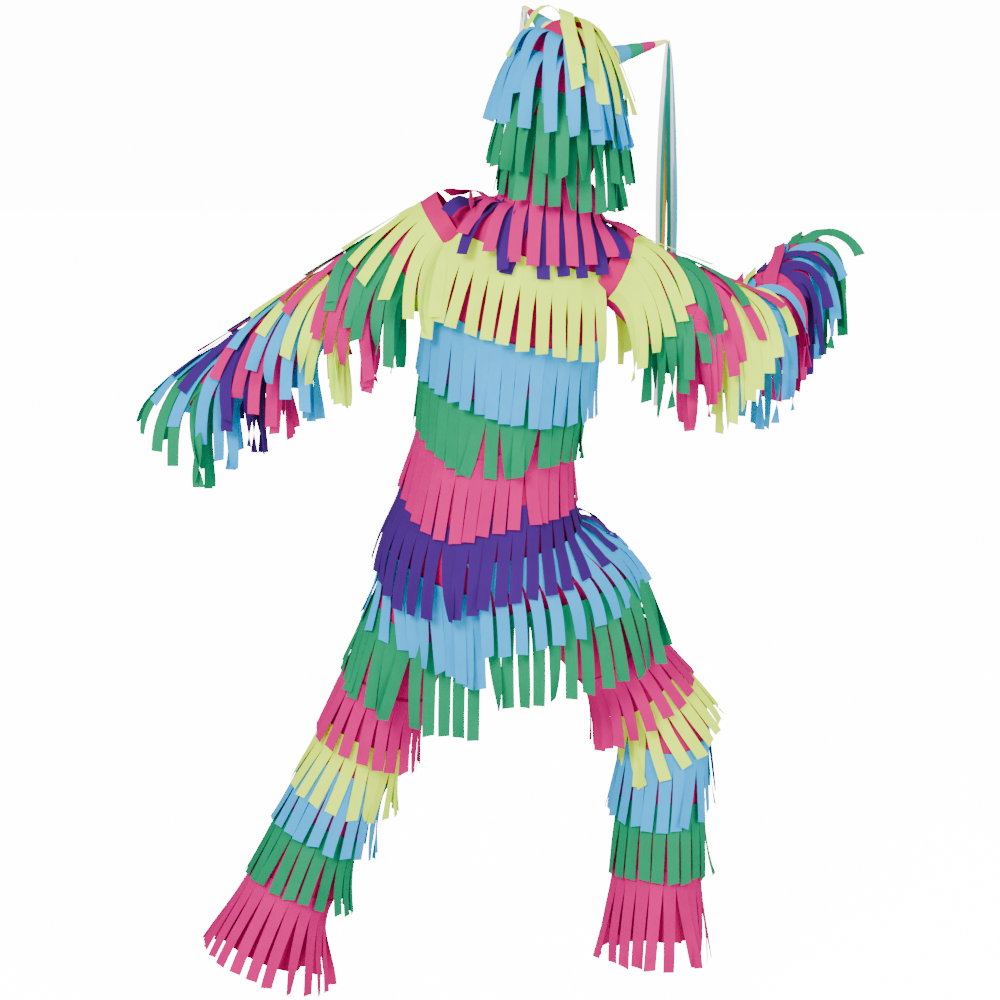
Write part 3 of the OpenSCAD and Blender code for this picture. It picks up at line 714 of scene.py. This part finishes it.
def seat(a, level, off):
    """The bodice, and below its edge the slack cloth over the tops of the legs, never inside the suit."""
    a = np.asarray(a, float)
    drop = np.maximum(SEAT_EDGE - np.asarray(level, float), 0)
    c, s = np.cos(np.radians(a)), np.sin(np.radians(a))
    sideways = np.where(c > 0, RIGHT_SPREAD, LEFT_SPREAD) * c
    forwards = np.where(s > 0, FRONT_SPREAD, BACK_TAPER) * s
    away = np.stack([sideways, forwards, -np.ones_like(c)], -1)
    p = bodice(a, np.maximum(level, SEAT_EDGE), off) + drop[..., None] * away
    flat = p.reshape(-1, 3)
    gap, out = gap_and_out(flat)
    return (flat + np.maximum(off - gap, 0)[:, None] * out).reshape(p.shape)


def make_seat_cloth():
    """Slack cloth inside the two seat rows, between the edge of the bodice and the legs."""
    def tucked(a, level, off):
        return seat(a, level, off - 0.3 * (SEAT_LEVEL - np.asarray(level, float)))

    piece = cloth_piece("seat_cloth", tucked, [(0, 360)], np.linspace(SEAT_LEVEL, SEAT_LEVEL - 0.06, 8),
                        ["back_panel"], off=-0.003, columns=90)
    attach(piece, "suit")


def seat_row(level, span, **more):
    options = dict(shape=seat, level=level, span=span, length=0.175, sense=-1, turn=0.4)
    return {**options, **more}


def make_seat_fringe():
    for s, (side, span) in enumerate(zip(SIDES, ((90, 262), (-98, 90)))):
        bend = ("suit", side + "_upper_leg", HIP[s] - 0.03 * THIGH[s], HIP[s] + 0.16 * THIGH[s])
        fringe(side + "_seat_cyan", "cyan", [seat_row(-0.596, span, dip=(0.055, 262, 38))],
               ["seat_fringe_cyan"], blend=bend)
        fringe(side + "_seat_green", "green", [seat_row(-0.690, span, dip=(0.062, 266, 60))],
               ["seat_fringe_green"], blend=bend)


make_seat_cloth()
make_seat_fringe()

# ---------------------------------------------------------------- fringe on the sleeves and legs

SLEEVE_SEAMS = (0.012, 0.098, 0.155, 0.212, 0.270, 0.327, 0.385, 0.442, 0.502)
ARMPIT = (0, 180)
ARMPIT_OPENING = (34, 24, 10, 0, 0, 0, 0, 0, 0)
SLEEVE_TURN = ((0.72, 0.70), (0.86, 0.97))


def sleeve_row(side, row, **more):
    opening = ARMPIT_OPENING[row]
    options = dict(shape=ARM[side], level=SLEEVE_SEAMS[row],
                   span=(ARMPIT[side] + opening, ARMPIT[side] + 360 - opening), length=0.160,
                   turn=SLEEVE_TURN[side][row > 4], under_turn=1.0, layers=1.7, twist=9, fall=30,
                   stray=0.18, header=0.014, curl=3.5, strip=0.0205, lean=1.5)
    return {**options, **more}


def make_sleeve_fringe():
    for s, side in enumerate(SIDES):
        shoulder = ("suit", side + "_upper_arm", SHOULDER[s], SHOULDER[s] + 0.07 * UPPER_ARM[s])
        elbow = (side + "_upper_arm", side + "_forearm", ELBOW[s] - 0.05 * UPPER_ARM[s],
                 ELBOW[s] + 0.05 * FOREARM[s])
        fringe(side + "_shoulder_yellow", "yellow", [sleeve_row(s, 0)],
               [side + "_shoulder_fringe_yellow"], blend=shoulder)
        fringe(side + "_sleeve_green", "green", [sleeve_row(s, 1)],
               [side + "_sleeve_fringe_green"], body=side + "_upper_arm")
        fringe(side + "_sleeve_magenta", "magenta", [sleeve_row(s, 2)],
               [side + "_sleeve_fringe_magenta"], body=side + "_upper_arm")
        fringe(side + "_sleeve_yellow", "yellow", [sleeve_row(s, 3)],
               [side + "_shoulder_fringe_yellow"], blend=elbow)
        for row, colour in ((4, "cyan"), (5, "magenta"), (6, "purple"), (7, "cyan"), (8, "green")):
            node = {4: "_sleeve_fringe_cyan", 8: "_cuff_fringe_green"}.get(row, "_forearm_fringe_" + colour)
            options = dict(length=0.165) if row == 8 else {}
            fringe(f"{side}_row_{row}_{colour}", colour, [sleeve_row(s, row, **options)], [side + node],
                   blend=elbow)


LEG_SEAMS = ((0.262, 0.372, 0.458, 0.573, 0.698), (0.250, 0.350, 0.450, 0.590, 0.715))
# The cyan row on the bent right leg is sewn higher at the front than at the back
SHIN_DIP = (LEVEL_SEAM, (0.045, 270, 75))


def leg_row(side, row, **more):
    options = dict(shape=LEG[side], level=LEG_SEAMS[side][row], span=(0, 360), length=0.146, turn=0.16,
                   twist=4, fall=20, flare=0.10, lean=0.7)
    return {**options, **more}


def make_leg_fringe():
    for s, side in enumerate(SIDES):
        hip = ("suit", side + "_upper_leg", HIP[s], HIP[s] + 0.15 * THIGH[s])
        knee = (side + "_upper_leg", side + "_lower_leg", KNEE[s] - 0.08 * THIGH[s],
                KNEE[s] + 0.08 * SHIN[s])
        fringe(side + "_thigh_magenta", "magenta", [leg_row(s, 0)],
               [side + "_thigh_fringe_magenta"], blend=hip)
        fringe(side + "_knee_yellow", "yellow", [leg_row(s, 1, twist=6, stray=0.12, flare=0.03)],
               [side + "_knee_fringe_yellow"], blend=knee)
        fringe(side + "_shin_cyan", "cyan", [leg_row(s, 2, dip=SHIN_DIP[s])],
               [side + "_shin_fringe_cyan"], blend=knee)
        fringe(side + "_shin_green", "green", [leg_row(s, 3)], [side + "_shin_fringe_green"],
               body=side + "_lower_leg")
        fringe(side + "_hem_magenta", "magenta", [leg_row(s, 4, length=0.185, flare=0.2)],
               [side + "_hem_fringe_magenta"], body=side + "_lower_leg")


make_sleeve_fringe()
make_leg_fringe()

# ---------------------------------------------------------------- fringe on the hood


def hood_row(level, **more):
    options = dict(shape=hood, level=level, span=(142, 398), length=0.146, sense=-1, turn=0.9,
                   flare=0.12, twist=6, fall=20, header=0.018, lean=1.0)
    return {**options, **more}


MANE_DRIFT = (0.10, -0.1, 0.0)


def make_hood_fringe():
    fringe("mane_yellow", "yellow",
           [hood_row(0.263, span=(160, 430), length=0.15, layers=2.6, off=0.004, stray=0.1, header=0.008,
                     drift=MANE_DRIFT),
            hood_row(0.252, span=(235, 410), length=0.15, layers=2.0, stray=0.1, header=0.008,
                     drift=MANE_DRIFT)],
           ["mane_fringe_yellow"], "hood")
    fringe("hood_cyan", "cyan",
           [hood_row(0.240, layers=2.2, stray=0.06, drift=(0.04, 0.0, 0.0), dip=(0.030, 335, 60),
                     header=0.01),
            hood_row(0.206, layers=1.6, stray=0.06, drift=(0.06, 0.0, 0.0), header=0.01, flare=0.16)],
           ["hood_fringe_cyan"], "hood")
    fringe("hood_green", "green", [hood_row(0.150, layers=1.4, flare=0.28), hood_row(0.106, flare=0.24)],
           ["hood_fringe_green"], "hood")


make_hood_fringe()

# ---------------------------------------------------------------- horns and ribbons

HORN_BASE = [np.array([0.016, 0.062, 0.268]), np.array([0.092, 0.068, 0.228])]
HORN_WAY = [heading(110, 21), heading(38, 13)]
HORN_LENGTH, HORN_RADIUS, HORN_TIP_RADIUS = 0.160, 0.0215, 0.003
HORN_BANDS = ("yellow", "cyan", "green", "magenta", "yellow")


def across(way):
    side = unit(np.cross(way, [0.0, 0.0, 1.0]))
    return side, np.cross(side, way)


def make_horn(s):
    """A stuffed cone of five bands. Each band swells a little between its seams."""
    side, top = across(HORN_WAY[s])
    points, faces, shades = [], [], []
    around, rings = 32, 12
    angles = np.linspace(0, 2 * math.pi, around, endpoint=False)
    ring = np.cos(angles)[:, None] * side + np.sin(angles)[:, None] * top
    for band, colour in enumerate(HORN_BANDS):
        base = len(points)
        for k in range(rings):
            t = (band + k / (rings - 1)) / len(HORN_BANDS)
            seam = math.sin(math.pi * k / (rings - 1)) ** 0.5
            radius = HORN_RADIUS + (HORN_TIP_RADIUS - HORN_RADIUS) * t
            radius = radius * (0.93 + 0.09 * seam)
            points.extend(HORN_BASE[s] + HORN_WAY[s] * HORN_LENGTH * t + ring * radius)
        quads = grid_faces(rings, around, True)
        faces.extend(tuple(base + i for i in q) for q in quads)
        shades.extend([list(HORN_CLOTH).index(colour)] * len(quads))
    faces.append(tuple(range(len(points) - around, len(points))))
    shades.append(0)
    horn = new_mesh(SIDES[s] + "_horn_cloth", points, faces, list(HORN_CLOTH.values()),
                    face_material=shades)
    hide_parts(SIDES[s] + "_horn")
    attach(horn, "hood")


RIBBON_LENGTH = 0.650
RIBBON_WIDTH = 0.0075
RIBBON_THICKNESS = 0.0004


def make_ribbons(s):
    """Six satin ribbons from a knot at the horn's tip, hanging straight and turning slowly."""
    tip = HORN_BASE[s] + HORN_WAY[s] * (HORN_LENGTH + 0.004)
    points, faces, shades = [], [], []
    steps = 60
    for i in range(len(RIBBON)):
        long = RIBBON_LENGTH * (1 - 0.03 * i)
        turn = random.uniform(-0.4, 0.4)
        spread = np.array([(i - 2.5) * 0.0062, 0.0012 * (i % 3), 0])
        base = len(points)
        phase = random.uniform(0, 6.28, 2)
        for k in range(steps + 1):
            t = k / steps
            open_out = 1 - math.exp(-6 * t)
            sway = 0.0035 * np.array([math.sin(7 * t + phase[0]), math.sin(5 * t + phase[1]), 0])
            middle = tip + spread * open_out + sway * t + DOWN * long * t
            angle = turn * (0.4 + t)
            half = 0.5 * RIBBON_WIDTH * np.array([math.cos(angle), math.sin(angle), 0])
            points.extend([middle - half, middle + half])
        quads = grid_faces(steps + 1, 2)
        faces.extend(tuple(base + j for j in q) for q in quads)
        shades.extend([i] * len(quads))
    ribbons = new_mesh(SIDES[s] + "_ribbons", points, faces, RIBBON, face_material=shades)
    thicken(ribbons, RIBBON_THICKNESS)
    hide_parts(SIDES[s] + "_horn_ribbons")
    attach(ribbons, SIDES[s] + "_ribbons")


for s in (LEFT, RIGHT):
    make_horn(s)
    make_ribbons(s)

# ---------------------------------------------------------------- the CAD nodes that show as they are


def dress_cad():
    for name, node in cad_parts.items():
        if not node.hide_render:
            node.data.materials.clear()
            node.data.materials.append(TAPE if name in ("hanger_loop", "zip_tapes") else ZIP_METAL)


dress_cad()

# ---------------------------------------------------------------- lights

LIGHT_AIM = Vector((-0.08, 0.0, -0.55))
# Name, place, size and power of each
LIGHTS = (("key", (-1.8, -3.4, 1.8), 1.4, 300), ("side", (2.6, -2.6, 0.6), 1.8, 120),
          ("front", (1.2, 3.6, 1.4), 2.0, 120))
FILL = 1.0
FLOOR_LEVEL, FLOOR_HALF_WIDTH = -1.56, 40


def area_light(name, location, size, power):
    light = bpy.data.lights.new(name, "AREA")
    light.size = size
    light.energy = power
    obj = bpy.data.objects.new(name, light)
    bpy.context.scene.collection.objects.link(obj)
    obj.location = location
    obj.rotation_euler = (LIGHT_AIM - obj.location).to_track_quat("-Z", "Y").to_euler()


def seen_white(nodes, links, strength_seen, strength_given):
    """A strength that is bright to the camera and softer as light on the suit."""
    path = nodes.new("ShaderNodeLightPath")
    strength = nodes.new("ShaderNodeMapRange")
    strength.inputs["To Min"].default_value = strength_given
    strength.inputs["To Max"].default_value = strength_seen
    links.new(path.outputs["Is Camera Ray"], strength.inputs["Value"])
    return strength.outputs["Result"]


WHITE_SEEN = 14.0


def make_world(fill):
    world = bpy.data.worlds.new("studio")
    world.use_nodes = True
    nodes, links = world.node_tree.nodes, world.node_tree.links
    nodes["Background"].inputs["Color"].default_value = (1, 1, 1, 1)
    links.new(seen_white(nodes, links, WHITE_SEEN, fill), nodes["Background"].inputs["Strength"])
    bpy.context.scene.world = world


def make_floor(level, half):
    """A plain white floor below the suit, a little way under the hems as the wearer would stand."""
    floor = new_mesh("floor", [(-half, -half, level), (half, -half, level), (half, half, level),
                               (-half, half, level)], [(0, 1, 2, 3)], [])
    material = bpy.data.materials.new("floor")
    material.use_nodes = True
    nodes, links = material.node_tree.nodes, material.node_tree.links
    shader = nodes["Principled BSDF"]
    shader.inputs["Base Color"].default_value = (0.9, 0.9, 0.9, 1)
    shader.inputs["Emission Color"].default_value = (1, 1, 1, 1)
    links.new(seen_white(nodes, links, WHITE_SEEN, 0.0), shader.inputs["Emission Strength"])
    floor.data.materials.append(material)


make_world(FILL)
make_floor(FLOOR_LEVEL, FLOOR_HALF_WIDTH)
for light in LIGHTS:
    area_light(*light)
